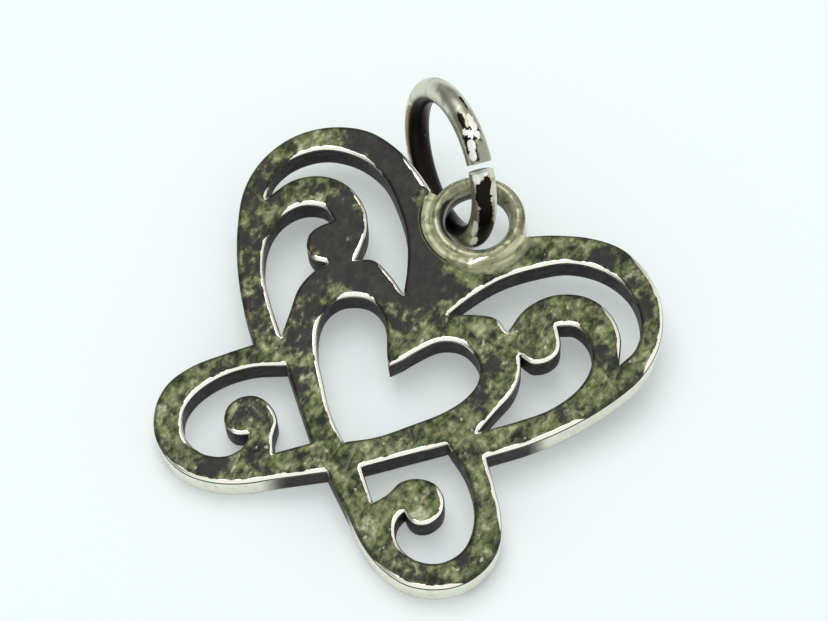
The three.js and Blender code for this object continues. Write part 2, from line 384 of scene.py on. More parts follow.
class Outline:
    """The plate's outline and openings, with how far any spot on the face is from them."""

    def __init__(self, loops):
        self.loops = loops
        self.firsts = np.cumsum([0] + [len(loop) for loop in loops[:-1]])
        self.points = np.concatenate(loops)
        rounds = [first + np.arange(len(loop)) for first, loop in zip(self.firsts, loops)]
        self.next = np.concatenate([np.roll(numbers, -1) for numbers in rounds])
        self.ahead = self.points[self.next]
        self.opening = np.concatenate([np.full(len(loop), float(k > 0)) for k, loop in enumerate(loops)])
        way = self.ahead - self.points
        way /= np.linalg.norm(way, axis=1)[:, None]
        # How far each rim faces the lit side, where the rims are painted with a highlight
        self.facing = way[:, 1] * LIT_SIDE[0] - way[:, 0] * LIT_SIDE[1]
        between = 6
        self.tree = kdtree.KDTree(between * len(self.points))
        for i, (a, b) in enumerate(zip(self.points, self.ahead)):
            for k in range(between):
                spot = a + (b - a) * k / between
                self.tree.insert((spot[0], spot[1], 0), i)
        self.tree.balance()

    def rubbed(self):
        """How far each stretch of rim is rubbed bright and painted with a highlight, with a tail where that ends.
        """
        shares = []
        for first, loop in zip(self.firsts, self.loops):
            own = eased((self.facing[first : first + len(loop)] + RUB_AND_HIGHLIGHT_START) / RUB_AND_HIGHLIGHT_RISE)
            tail = sum(np.roll(own, k) for k in range(-RUB_AND_HIGHLIGHT_TAIL, RUB_AND_HIGHLIGHT_TAIL + 1)) / (2 * RUB_AND_HIGHLIGHT_TAIL + 1)
            shares.append(np.maximum(own, RUB_AND_HIGHLIGHT_TAIL_SHARE * tail))
        return np.concatenate(shares)

    def distance(self, spots):
        """For each spot the distance to the nearest edge, and which point that edge starts from."""
        found = [self.tree.find((x, y, 0)) for x, y in spots]
        return np.array([f[2] for f in found]), np.array([f[1] for f in found])

    def on_metal(self, spots):
        """Which spots lie inside the outline and in none of the openings."""
        inside = np.zeros(len(spots), bool)
        ax, ay = self.points.T
        bx, by = self.ahead.T
        slope = (bx - ax) / np.where(by == ay, 1e-12, by - ay)
        batch = 1000
        for first in range(0, len(spots), batch):
            x, y = spots[first : first + batch].T[:, :, None]
            crosses = ((ay > y) != (by > y)) & (x < ax + slope * (y - ay))
            inside[first : first + batch] = crosses.sum(1) % 2 == 1
        return inside

    def face_spots(self):
        """Rows of spots along every edge, and a grid over the rest of the face."""
        kept = []
        for loop in self.loops:
            way = np.roll(loop, -1, 0) - np.roll(loop, 1, 0)
            way /= np.linalg.norm(way, axis=1)[:, None]
            inward = np.stack([-way[:, 1], way[:, 0]], 1)
            for row in ROWS_IN_FROM_EDGE:
                spots = loop + inward * row
                near, _ = self.distance(spots)
                kept.append(spots[near > ROW_KEPT * row])
        low, high = self.points.min(0), self.points.max(0)
        rise = FACE_STEP * math.sqrt(3) / 2
        grid = []
        for k, y in enumerate(np.arange(low[1], high[1], rise)):
            x = np.arange(low[0], high[0], FACE_STEP) + (k % 2) * FACE_STEP / 2
            grid.append(np.stack([x, np.full(len(x), y)], 1))
        grid = np.concatenate(grid)
        grid = grid[self.on_metal(grid)]
        near, _ = self.distance(grid)
        kept.append(grid[near > ROWS_IN_FROM_EDGE[-1] + FACE_STEP / 2])
        return np.concatenate(kept)

    def face(self):
        """The spots of the face, with the outline's own points first, and the triangles between them."""
        spots = np.concatenate([self.points, self.face_spots()])
        rim_edges = list(enumerate(self.next.tolist()))
        all_triangles, tolerance = 0, 1e-7
        corners = [Vector(s) for s in spots]
        filled = geometry.delaunay_2d_cdt(corners, rim_edges, [], all_triangles, tolerance)
        spots = np.array([tuple(v) for v in filled[0]])
        faces = np.array(filled[2])
        faces = faces[self.on_metal(spots[faces].mean(1))]
        a, b, c = (spots[faces[:, k]] for k in range(3))
        turned = (b[:, 0] - a[:, 0]) * (c[:, 1] - a[:, 1]) < (b[:, 1] - a[:, 1]) * (c[:, 0] - a[:, 0])
        faces[turned] = faces[turned][:, ::-1]
        return spots, faces


# The plate


def edge_drop(near):
    """How far the rounded edge lies below the flat of the face."""
    into_round = np.clip(EDGE_ROUND - near, 0, EDGE_ROUND)
    return EDGE_ROUND - np.sqrt(EDGE_ROUND**2 - into_round**2)


def plate_marks(outline, points, edge):
    """Tarnish, pale places, and rims rubbed bright and painted with a highlight, at each point of the plate, given
    the edge nearest to it.
    """
    tarnish = strongest(
        depth * eased(TARNISH_FULL - TARNISH_FALL * away_from(points, x, y) / radius)
        for x, y, radius, depth in TARNISH
    )
    rubbed = outline.rubbed()[edge]
    for x, y, radius in DULL_RIMS:
        rubbed *= eased((away_from(points, x, y) - radius + DULL_INSIDE) / DULL_FADE)
    return {
        "at_opening": outline.opening[edge],
        "tarnish": tarnish * (1 - CLEAN_SHARE * soft_spot(points, *CLEAN_PATCH)),
        "pale": strongest(soft_spot(points, *place, SOFTER) for place in PALE),
        "in_notch": strongest(
            eased((NOTCH_REACH - away_from(points, x, y)) / NOTCH_FADE) for x, y in notches(outline.loops[0])
        ),
        "rubbed": rubbed,
        "broad": soft_spot(points, *BROAD_RIM),
    }


def plate_mesh():
    """The pierced sheet: a face with rounded edges, the same again on the back, and walls between them."""
    outline = Outline([smooth_loop(loop) for loop in wall_loops()])
    spots, faces = outline.face()
    count, rim_count = len(spots), len(outline.points)
    rim = np.arange(rim_count)
    near, edge = outline.distance(spots)
    near[:rim_count] = 0
    edge[:rim_count] = rim
    wave = np.array([noise.noise(Vector((x, y, 0)) / FACE_WAVE_SIZE) for x, y in spots])
    sunk = FACE_WAVE * (0.5 + 0.5 * wave) * np.clip(near / EDGE_ROUND, 0, 1)
    top = np.column_stack([spots, SHEET - edge_drop(near) - sunk])
    back = np.column_stack([spots, edge_drop(near)])
    rows = [rim]
    wall_points = []
    for k in range(1, WALL_ROWS):
        height = SHEET - EDGE_ROUND - (SHEET - 2 * EDGE_ROUND) * k / WALL_ROWS
        rows.append(2 * count + (k - 1) * rim_count + rim)
        wall_points.append(np.column_stack([spots[:rim_count], np.full(rim_count, height)]))
    rows.append(count + rim)
    ahead = outline.next
    walls = [np.column_stack([u, d, d[ahead], u[ahead]]) for u, d in zip(rows, rows[1:])]
    points = np.concatenate([top, back, *wall_points])
    polygons = faces.tolist() + (faces[:, ::-1] + count).tolist() + np.concatenate(walls).tolist()
    mesh = bpy.data.meshes.new("openwork_plate_face")
    mesh.from_pydata(points.tolist(), [], polygons)
    from_edge = np.concatenate([near, near, np.zeros(rim_count * (WALL_ROWS - 1))])
    edge = np.concatenate([edge, edge, np.tile(rim, WALL_ROWS - 1)])
    on_wall = (from_edge == 0).astype(float)
    keep_values(mesh, from_edge=from_edge, on_wall=on_wall, **plate_marks(outline, points, edge))
    mesh.transform(PLATE)
    return mesh


# Rings made by sweeping a section along a path


def swept_ring_tree(closed):
    """A ring of wire: an oval section swept round a circle, or round an arc with capped ends."""
    tree = bpy.data.node_groups.new("closed_ring" if closed else "cut_ring", "GeometryNodeTree")
    sizes = ["Ring radius", "Section width", "Section height"] + ([] if closed else ["Start", "Sweep"])
    for name in sizes:
        tree.interface.new_socket(name, in_out="INPUT", socket_type="NodeSocketFloat")
    for name in ("Steps", "Section points"):
        tree.interface.new_socket(name, in_out="INPUT", socket_type="NodeSocketInt")
    tree.interface.new_socket("Finish", in_out="INPUT", socket_type="NodeSocketMaterial")
    tree.interface.new_socket("Ring", in_out="OUTPUT", socket_type="NodeSocketGeometry")
    given = tree.nodes.new("NodeGroupInput").outputs
    course = {"Resolution": given["Steps"], "Radius": given["Ring radius"]}
    if closed:
        path = node(tree, "GeometryNodeCurvePrimitiveCircle", course)
    else:
        course |= {"Start Angle": given["Start"], "Sweep Angle": given["Sweep"]}
        path = node(tree, "GeometryNodeCurveArc", course)
    circle = node(
        tree, "GeometryNodeCurvePrimitiveCircle", {"Resolution": given["Section points"], "Radius": 0.5}
    )
    stretch = node(
        tree, "ShaderNodeCombineXYZ", {"X": given["Section width"], "Y": given["Section height"], "Z": 1}
    )
    oval = node(
        tree, "GeometryNodeTransform", {"Geometry": circle.outputs["Curve"], "Scale": stretch.outputs[0]}
    )
    swept = node(
        tree,
        "GeometryNodeCurveToMesh",
        {"Curve": path.outputs["Curve"], "Profile Curve": oval.outputs["Geometry"], "Fill Caps": not closed},
    )
    whole = node(tree, "GeometryNodeRealizeInstances", {"Geometry": swept.outputs["Mesh"]})
    finish = node(
        tree,
        "GeometryNodeSetMaterial",
        {"Geometry": whole.outputs["Geometry"], "Material": given["Finish"]},
    )
    node(tree, "NodeGroupOutput", {"Ring": finish.outputs["Geometry"]})
    return tree


def grown(name, tree, values):
    """The mesh that a tree of geometry nodes makes from named values."""
    holder = bpy.data.objects.new(name, bpy.data.meshes.new(name))
    bpy.context.scene.collection.objects.link(holder)
    modifier = holder.modifiers.new(name, "NODES")
    modifier.node_group = tree
    for item in tree.interface.items_tree:
        if item.in_out == "INPUT":
            modifier[item.identifier] = values[item.name]
    seen = holder.evaluated_get(bpy.context.evaluated_depsgraph_get())
    mesh = bpy.data.meshes.new_from_object(seen)
    holder.modifiers.remove(modifier)
    bpy.data.objects.remove(holder)
    turn_outward(mesh, merge=1e-4)
    return mesh


def points_of(mesh):
    spots = np.empty(len(mesh.vertices) * 3, np.float32)
    mesh.vertices.foreach_get("co", spots)
    return spots.reshape(-1, 3).astype(float)


def move_points(mesh, spots):
    mesh.vertices.foreach_set("co", spots.astype(np.float32).ravel())
    mesh.update()


def eye_mesh(finish):
    """The closed ring of the eye, with its painted lines of highlight and shade and the painted shade of its bore.
    """
    mesh = grown(
        "hanger_eye_ring",
        swept_ring_tree(closed=True),
        {
            "Ring radius": EYE_MEAN,
            "Section width": EYE_WIDTH,
            "Section height": EYE_DEPTH,
            "Steps": EYE_STEPS,
            "Section points": EYE_SECTION_POINTS,
            "Finish": finish,
        },
    )
    spots = points_of(mesh)
    out = np.hypot(spots[:, 0], spots[:, 1])
    angle = np.degrees(np.arctan2(spots[:, 1], spots[:, 0]))
    inward = np.degrees(np.arctan2((EYE_MEAN - out) / EYE_WIDTH, spots[:, 2] / EYE_DEPTH))

    def along(middle, length):
        return eased(SOFT - np.abs((angle - middle + 180) % 360 - 180) / length)

    def line(middle, length, side, width):
        return along(middle, length) * eased(LINE_SOFT - np.abs(inward - side) / width)

    # The dark of the bore is painted shade with oxide in it; the lines are painted highlights and a painted line
    # of shade
    edge_of_bore = BORE_DARK - BORE_DARK_SOONER * along(*BORE_DARK_STRETCH)
    keep_values(
        mesh,
        in_bore=eased((inward - edge_of_bore) / BORE_DARK_SOFT + 0.5),
        bore_line=line(*BORE_HIGHLIGHT),
        outer_line=line(*OUTER_HIGHLIGHT),
        outer_shade=line(*OUTER_SHADE),
    )
    mesh.transform(PLATE @ Matrix.Translation((0, EYE_HEIGHT, SHEET / 2)))
    return mesh


def ring_axes():
    """Takes the jump ring's own coordinates, with its foot on -y, to the table's frame."""
    mount = next(m for m in frame["record"]["mounts"] if m["name"] == "hanging_ring")
    square = Vector(mount["axis"]).normalized()
    level = (PLATE_TURN @ Vector((0, 0, 1))).cross(square).normalized()
    rise = square.cross(level)
    turn = Matrix((level, rise, square)).transposed()
    return Matrix.Translation(mount["pos_m"]) @ (turn * MM).to_4x4()


def ring_mesh(finish):
    """The open ring of round wire, with its plier flats and marks."""
    half_cut = RING_CUT / 2 / RING_RADIUS
    mesh = grown(
        "jump_ring_wire",
        swept_ring_tree(closed=False),
        {
            "Ring radius": RING_RADIUS,
            "Section width": RING_WIRE,
            "Section height": RING_WIRE,
            "Start": math.radians(RING_CUT_ANGLE - 90) + half_cut,
            "Sweep": 2 * math.pi - 2 * half_cut,
            "Steps": RING_STEPS,
            "Section points": RING_SECTION_POINTS,
            "Finish": finish,
        },
    )
    spots = points_of(mesh)
    out = np.hypot(spots[:, 0], spots[:, 1])
    angle = (np.degrees(np.arctan2(spots[:, 1], spots[:, 0])) + 90) % 360
    around = np.degrees(np.arctan2(spots[:, 2], out - RING_RADIUS))

    def mark(at, side, length, width, soft=SOFT):
        return eased(soft - np.hypot((angle - at) / length, (around - side) / width))

    flat = np.zeros(len(spots))
    for at, side, depth, shine in RING_FLATS:
        place, tilt = math.radians(at - 90), math.radians(side)
        outward = np.array((math.cos(place), math.sin(place), 0))
        square = math.cos(tilt) * outward + math.sin(tilt) * np.array((0, 0, 1))
        from_wire = spots - RING_RADIUS * outward
        here = np.linalg.norm(from_wire, axis=1) < RING_WIRE
        push = np.clip(from_wire @ square - (RING_WIRE / 2 - depth), 0, None) * here
        spots -= push[:, None] * square
        flat = np.maximum(flat, shine * eased(push / FLAT_EDGE))
    move_points(mesh, spots)
    begin, end = RING_WORKED
    begin_soft, end_soft = RING_WORKED_SOFT
    keep_values(
        mesh,
        toward_middle=np.clip((RING_RADIUS - out) / (RING_WIRE / 2), -1, 1),
        bright=strongest(mark(*place) for place in RING_SCUFFS_AND_GLINTS),
        oxide=strongest(mark(*place) for place in RING_OXIDE_AND_DARK_REFLECTION),
        flat=flat,
        worked=eased((angle - begin) / begin_soft) * eased((end - angle) / end_soft),
        amber=mark(*RING_AMBER, SOFTER),
        lower_left=mark(*RING_LOWER_LEFT),
    )
    mesh.transform(ring_axes())
    return mesh


# Solder, as it ran between the eye and the saddle

SADDLE_GAP = 0.18
SADDLE = EYE_BORE + EYE_WIDTH + SADDLE_GAP
LIP = SADDLE + 0.1
SOLDER_STEPS = 200
SOLDER_ROWS = 43
SOLDER_TURN = 188
SOLDER_FLOOR = 0.08

# How full the solder is: least, and fullest at an angle with a spread in degrees, with some unevenness
SOLDER_LEAST = 0.25
SOLDER_FULLEST = 322
SOLDER_SPREAD = 42
SOLDER_UNEVEN = 0.12
SOLDER_UNEVEN_SIZE = 2.2
SOLDER_UNEVEN_LAYER = 1.7

# How far the solder laps over the plate where it is fullest, and from which point of its flow it is thin
SOLDER_LAP = 0.42
SOLDER_THIN_FROM = 2.6
SOLDER_THIN_OVER = 2.6

# A painted highlight on the solder, a bright streak in the crease by the eye: its ends and half its width
HIGHLIGHT_STREAK = ((0.67, 8.88), (1.14, 9.52))
HIGHLIGHT_STREAK_WIDTH = 0.05


def on_eye(angle, proud=0.0):
    """A point of the eye's section, as distance from the eye's axis and height on the plate."""
    a = math.radians(angle)
    return (
        EYE_MEAN + (EYE_WIDTH / 2 + proud) * math.cos(a),
        SHEET / 2 + (EYE_DEPTH / 2 + proud) * math.sin(a),
    )


def from_line(spots, a, b):
    """How far spots lie from the straight line between two points."""
    a, way = np.array(a), np.subtract(b, a)
    share = np.clip((spots - a) @ way / (way @ way), 0, 1)
    return np.linalg.norm(spots - a - share[:, None] * way, axis=1)


def fullness(angle):
    """How full the solder is at an angle round the eye, from 0 to about 1."""
    a = math.radians(angle)
    swell = math.exp(-(((angle - SOLDER_FULLEST) / SOLDER_SPREAD) ** 2))
    place = Vector((SOLDER_UNEVEN_SIZE * math.cos(a), SOLDER_UNEVEN_SIZE * math.sin(a), SOLDER_UNEVEN_LAYER))
    return SOLDER_LEAST + (1 - SOLDER_LEAST) * swell + SOLDER_UNEVEN * noise.noise(place)


def solder_flow(full):
    """The solder's upper line from the eye out over the plate: distance from the eye's axis and height."""
    end = LIP + SOLDER_LAP * full
    return np.array(
        [
            on_eye(66, 0.012),
            (EYE_MEAN + 0.31, 1.19 + 0.05 * full),
            (EYE_MEAN + 0.45, 1.165 + 0.1 * full),
            (SADDLE, 1.18 + 0.12 * full),
            (LIP, 1.25 + 0.06 * full),
            (0.45 * LIP + 0.55 * end, SHEET + 0.016 * full),
            (end, SHEET - 0.035),
        ]
    )


def solder_mesh():
    """A smooth fillet that fills the saddle, fullest on the right, where it laps over the plate."""
    hidden = [
        (SADDLE - 0.02, SHEET - 0.25),
        (SADDLE - 0.02, SOLDER_FLOOR),
        on_eye(-52, 0.01),
        on_eye(0, -0.02),
        on_eye(58, -0.02),
    ]
    points, rubbed, thin = [], [], []
    for i in range(SOLDER_STEPS + 1):
        angle = 270 - SOLDER_TURN / 2 + SOLDER_TURN * i / SOLDER_STEPS
        a = math.radians(angle)
        flow = solder_flow(fullness(angle))
        share = np.linspace(0, len(flow) - 1, SOLDER_ROWS)
        top = [np.interp(share, np.arange(len(flow)), flow[:, k]) for k in (0, 1)]
        section = [*zip(*top), *hidden]
        places = np.array([(out * math.cos(a), EYE_HEIGHT + out * math.sin(a)) for out, _ in section])
        points += [(x, y, height) for (x, y), (_, height) in zip(places, section)]
        # The streak of painted highlight
        highlight_streak = eased(SOFTER - from_line(places[:SOLDER_ROWS], *HIGHLIGHT_STREAK) / HIGHLIGHT_STREAK_WIDTH)
        rubbed += [*highlight_streak, *np.zeros(len(hidden))]
        thin += [*eased((share - SOLDER_THIN_FROM) / SOLDER_THIN_OVER), *np.zeros(len(hidden))]
    sides = SOLDER_ROWS + len(hidden)
    faces = []
    for i in range(SOLDER_STEPS):
        for k in range(sides):
            a, b = i * sides + k, i * sides + (k + 1) % sides
            faces.append((a, b, b + sides, a + sides))
    faces.append(tuple(range(sides)))
    faces.append(tuple(range(SOLDER_STEPS * sides, (SOLDER_STEPS + 1) * sides)))
    mesh = bpy.data.meshes.new("solder_flow")
    mesh.from_pydata(points, [], faces)
    keep_values(mesh, rubbed=rubbed, thin=thin)
    turn_outward(mesh)
    mesh.transform(PLATE)
    return mesh


# Nodes that the finishes are made of


def srgb(red, green, blue):
    """A colour as seen on a screen, 0 to 255, made linear."""
    shares = (c / 255 for c in (red, green, blue))
    return tuple(c / 12.92 if c <= 0.04045 else ((c + 0.055) / 1.055) ** 2.4 for c in shares) + (1,)


def maths(tree, kind, a, b, clamp=False):
    return node(tree, "ShaderNodeMath", {0: a, 1: b}, operation=kind, use_clamp=clamp).outputs[0]


def plus(tree, a, b, clamp=False):
    return maths(tree, "ADD", a, b, clamp)


def minus(tree, a, b):
    return maths(tree, "SUBTRACT", a, b)


def times(tree, a, b):
    return maths(tree, "MULTIPLY", a, b)


def most(tree, a, b):
    return maths(tree, "MAXIMUM", a, b)


def less(tree, value):
    """What is left of 1."""
    return maths(tree, "SUBTRACT", 1.0, value, True)


def span(tree, value, low, high, out_low=0.0, out_high=1.0):
    """Eases a value from out_low at low to out_high at high."""
    return node(
        tree,
        "ShaderNodeMapRange",
        {"Value": value, "From Min": low, "From Max": high, "To Min": out_low, "To Max": out_high},
        interpolation_type="SMOOTHSTEP",
    ).outputs["Result"]


def blend(tree, share, a, b):
    return node(tree, "ShaderNodeMix", {0: share, 6: a, 7: b}, data_type="RGBA").outputs[2]


def blend_value(tree, share, a, b):
    return node(tree, "ShaderNodeMix", {0: share, 2: a, 3: b}, data_type="FLOAT").outputs[0]


def coat(tree, under, mask, tint, strength=1.0):
    """A colour with a tint over it where the mask is on."""
    share = mask if strength == 1.0 else times(tree, mask, strength)
    return blend(tree, share, under, srgb(*tint))


def ramp(tree, value, stops):
    made = node(tree, "ShaderNodeValToRGB", {0: value})
    scale = made.color_ramp.elements
    while len(scale) < len(stops):
        scale.new(0.5)
    for element, (place, tint) in zip(scale, stops):
        element.position = place
        element.color = srgb(*tint)
    return made.outputs[0]


def attribute(tree, name):
    return node(tree, "ShaderNodeAttribute", attribute_name=name).outputs["Fac"]


def speckle(tree, place, scale, detail, roughness, distortion):
    return node(
        tree,
        "ShaderNodeTexNoise",
        {"Vector": place, "Scale": scale, "Detail": detail, "Roughness": roughness, "Distortion": distortion},
    ).outputs["Fac"]


def drawn_out(tree, place, degrees, length):
    """Coordinates in which a pattern is drawn out to 1 / length along one direction."""
    turn = (0, 0, math.radians(degrees))
    mapping = {"Vector": place, "Rotation": turn, "Scale": (1, length, 1)}
    return node(tree, "ShaderNodeMapping", mapping).outputs[0]


def effect(name, inputs, outputs):
    """An empty shader group with named number sockets, and its object coordinates."""
    tree = bpy.data.node_groups.new(name, "ShaderNodeTree")
    for socket, value in inputs.items():
        made = tree.interface.new_socket(socket, in_out="INPUT", socket_type="NodeSocketFloat")
        made.default_value = value
    for socket in outputs:
        tree.interface.new_socket(socket, in_out="OUTPUT", socket_type="NodeSocketFloat")
    given = tree.nodes.new("NodeGroupInput").outputs
    place = node(tree, "ShaderNodeTexCoord").outputs["Object"]
    return tree, given, place


# Coarse grains, green patches and pale specks (partly painted glints) of the oxide, for one of its fine grains
COARSE_GRAINS = 0.32
GREEN_PATCHES = 0.45
PALE_SPECKS = 0.9


def granules_effect():
    """Mottled granular oxide: darker and lighter grains, some greener, with pale specks among them, partly painted
    glints.
    """
    outputs = ("Tone", "Green", "Speck", "Height")
    tree, given, place = effect("granules", {"Grains per metre": 5000.0}, outputs)
    drawn = drawn_out(tree, place, degrees=27, length=0.6)
    size = given["Grains per metre"]
    coarse = speckle(tree, place, times(tree, size, COARSE_GRAINS), detail=3, roughness=0.6, distortion=0.5)
    fine = speckle(tree, drawn, size, detail=3, roughness=0.6, distortion=0.3)
    mossy = speckle(tree, drawn, times(tree, size, GREEN_PATCHES), detail=2, roughness=0.5, distortion=0.3)
    bright = speckle(tree, drawn, times(tree, size, PALE_SPECKS), detail=1, roughness=0.5, distortion=0.2)
    values = {
        "Tone": plus(tree, times(tree, coarse, 0.5), times(tree, fine, 0.5)),
        "Green": span(tree, mossy, low=0.42, high=0.66),
        "Speck": span(tree, bright, low=0.69, high=0.78),
        "Height": plus(tree, times(tree, fine, 0.7), times(tree, coarse, 0.6)),
    }
    node(tree, "NodeGroupOutput", values)
    return tree


def blotches_effect():
    """Uneven tarnish in soft patches."""
    tree, given, place = effect("blotches", {"Patches per metre": 1200.0, "Cover": 0.5}, ("Mask",))
    cloud = speckle(tree, place, given["Patches per metre"], detail=3, roughness=0.55, distortion=0.8)
    bare_level, full_cover, softness = 0.75, 0.5, 0.14
    low = minus(tree, bare_level, times(tree, given["Cover"], full_cover))
    node(tree, "NodeGroupOutput", {"Mask": span(tree, cloud, low, plus(tree, low, softness))})
    return tree


def scratches_effect():
    """Fine straight scratches in two directions."""
    tree, given, place = effect("scratches", {"Lines per metre": 9000.0, "Cover": 0.5}, ("Mask",))
    bare_level, full_cover, softness = 0.85, 0.3, 0.06
    low = minus(tree, bare_level, times(tree, given["Cover"], full_cover))
    high = plus(tree, low, softness)
    lines = []
    for degrees in (20, 74):
        drawn = drawn_out(tree, place, degrees, length=0.05)
        streaks = speckle(tree, drawn, given["Lines per metre"], detail=1, roughness=0.5, distortion=0.1)
        lines.append(span(tree, streaks, low, high))
    node(tree, "NodeGroupOutput", {"Mask": most(tree, *lines)})
    return tree


GRANULES = granules_effect()
BLOTCHES = blotches_effect()
SCRATCHES = scratches_effect()


def placed(tree, group, **values):
    made = tree.nodes.new("ShaderNodeGroup")
    made.node_tree = group
    for name, value in values.items():
        made.inputs[name.replace("_", " ")].default_value = value
    return made.outputs


def unevenness(tree, grains, strength):
    """How far the grains are lighter or darker than their middle tone."""
    middle_tone = 0.5
    return times(tree, minus(tree, grains["Tone"], middle_tone), strength)


def finish_tree(name):
    material = bpy.data.materials.new(name)
    material.use_nodes = True
    tree = material.node_tree
    shader = next(n for n in tree.nodes if n.type == "BSDF_PRINCIPLED")
    return material, tree, shader


# Finishes

GRAIN_HEIGHT = 0.00003

# The oxide's tones, from its darkest grains to its lightest, where it is olive and where it is green
OLIVE = [
    (0.34, (27, 29, 22)),
    (0.41, (58, 61, 42)),
    (0.48, (91, 95, 63)),
    (0.56, (120, 123, 87)),
    (0.66, (164, 165, 133)),
]
GREEN = [
    (0.34, (21, 27, 18)),
    (0.41, (44, 56, 28)),
    (0.48, (73, 86, 40)),
    (0.56, (101, 112, 61)),
    (0.66, (139, 147, 101)),
]
CRUST = [(0.42, (22, 20, 19)), (0.6, (36, 39, 29))]
# Black of the oxide in the openings and notches, also the painted line of shade at the outer edge
RECESS_AND_SHADE_BLACK = (28, 24, 23)
RUBBED_WHITE = (250, 247, 231)
FILED_GREY = (186, 181, 154)

# How far thick oxide darkens the tone and pale places lighten it, and how far the green and the crust cover
THICK_DARKENS = 0.06
PALE_LIGHTENS = 0.05
GREEN_COVER = 0.85
CRUST_COVER = 0.96

# How rough the oxide is on its dark and its light grains, the crust, rubbed metal and file marks
GRAIN_ROUGH = (0.62, 0.42)
CRUST_ROUGH = 0.5
RUBBED_ROUGH = 0.2
FILED_ROUGH = 0.5

# How metallic the surfaces are
BARE_METAL = 1.0
WHITE_MARK_METAL = 0.3
TARNISHED_METAL = 0.4
OXIDE_METAL = 0.3
CRUST_METAL = 0.1

# Rims, in millimetres in from the edge: how far the wear and painted highlight reach, how much farther where they
# are broad, how softly they end and how ragged they are
RIM_REACH = 0.19
RIM_BROADER = 0.09
RIM_SOFT = 0.025
RIM_RAGGED = 0.1

# How much of the wear and painted highlight is missing where the oxide is thick
THICK_SPARES = 0.25

# Where the painted shade along every edge begins and is full, and the painted dark line of shade at the very edge
# of the outer one
EDGE_SHADE = (0.155, 0.13)
EDGE_DARK_LINE = (0.03, 0.018)


def oxide_colour(tree, grains, thick, lines, dark):
    """The colour of the plate's face, away from its rims."""
    tone = minus(tree, grains["Tone"], times(tree, thick, THICK_DARKENS))
    tone = plus(tree, tone, times(tree, attribute(tree, "pale"), PALE_LIGHTENS))
    greener = times(tree, grains["Green"], GREEN_COVER)
    face = blend(tree, greener, ramp(tree, tone, OLIVE), ramp(tree, tone, GREEN))
    # Pale specks, partly painted glints
    face = coat(tree, face, grains["Speck"], (196, 198, 172), strength=0.6)
    face = coat(tree, face, lines, (160, 162, 134), strength=0.3)
    return blend(tree, times(tree, dark, CRUST_COVER), face, ramp(tree, grains["Tone"], CRUST))


def oxidised_silver():
    """Granular dark oxide, with rims rubbed bright and painted with a highlight on the lit side, black openings, a
    painted line of shade at the outer edge and a filed outer wall.
    """
    material, tree, shader = finish_tree("oxidised_silver")
    grains = placed(tree, GRANULES, Grains_per_metre=4600)
    thick = placed(tree, BLOTCHES, Patches_per_metre=800, Cover=0.6)["Mask"]
    lines = placed(tree, SCRATCHES, Lines_per_metre=8000, Cover=0.4)["Mask"]
    uneven = unevenness(tree, grains, 1.6)
    dark = span(tree, minus(tree, attribute(tree, "tarnish"), uneven), low=0.35, high=0.7)

    from_edge = attribute(tree, "from_edge")
    # The rims, rubbed bright and painted with a highlight towards the lit side
    worn = plus(tree, from_edge, times(tree, uneven, RIM_RAGGED))
    spared = minus(tree, attribute(tree, "rubbed"), times(tree, thick, THICK_SPARES))
    rubbed = plus(tree, spared, uneven, clamp=True)
    reach = plus(tree, RIM_REACH, times(tree, attribute(tree, "broad"), RIM_BROADER))
    rim = span(tree, minus(tree, worn, times(tree, rubbed, reach)), low=0.0, high=-RIM_SOFT)

    wall = attribute(tree, "on_wall")
    opening = span(tree, attribute(tree, "at_opening"), low=0.4, high=0.6)
    black = times(tree, wall, most(tree, opening, attribute(tree, "in_notch")))
    outer_rim = times(tree, less(tree, wall), less(tree, opening))
    # Painted dark line of shade at the very edge of the outer outline, beside the black oxide of the openings and
    # notches
    edge_dark_line = times(tree, span(tree, from_edge, *EDGE_DARK_LINE), outer_rim)
    black_or_edge_dark_line = most(tree, black, edge_dark_line)
    bright = times(tree, most(tree, rim, wall), less(tree, black_or_edge_dark_line))
    file_marks = most(tree, lines, span(tree, grains["Tone"], low=0.5, high=0.36))
    filed = times(tree, times(tree, file_marks, 0.4), wall)

    colour = oxide_colour(tree, grains, thick, lines, dark)
    colour = coat(tree, colour, span(tree, worn, *EDGE_SHADE), (38, 38, 32), strength=0.45)
    colour = blend(tree, bright, colour, coat(tree, srgb(*RUBBED_WHITE), filed, FILED_GREY))
    colour = coat(tree, colour, black_or_edge_dark_line, RECESS_AND_SHADE_BLACK)
    grain_rough = span(tree, grains["Tone"], 0.35, 0.65, *GRAIN_ROUGH)
    rough = blend_value(tree, dark, grain_rough, CRUST_ROUGH)
    shine = blend_value(tree, filed, RUBBED_ROUGH, FILED_ROUGH)
    metal = blend_value(tree, dark, OXIDE_METAL, CRUST_METAL)
    height = times(tree, grains["Height"], less(tree, most(tree, bright, dark)))
    bump = node(tree, "ShaderNodeBump", {"Strength": 0.5, "Distance": GRAIN_HEIGHT, "Height": height})
    shader.inputs["Specular IOR Level"].default_value = 0.32
    tree.links.new(colour, shader.inputs["Base Color"])
    tree.links.new(blend_value(tree, bright, rough, shine), shader.inputs["Roughness"])
    tree.links.new(blend_value(tree, bright, metal, BARE_METAL), shader.inputs["Metallic"])
    tree.links.new(bump.outputs["Normal"], shader.inputs["Normal"])
    return material


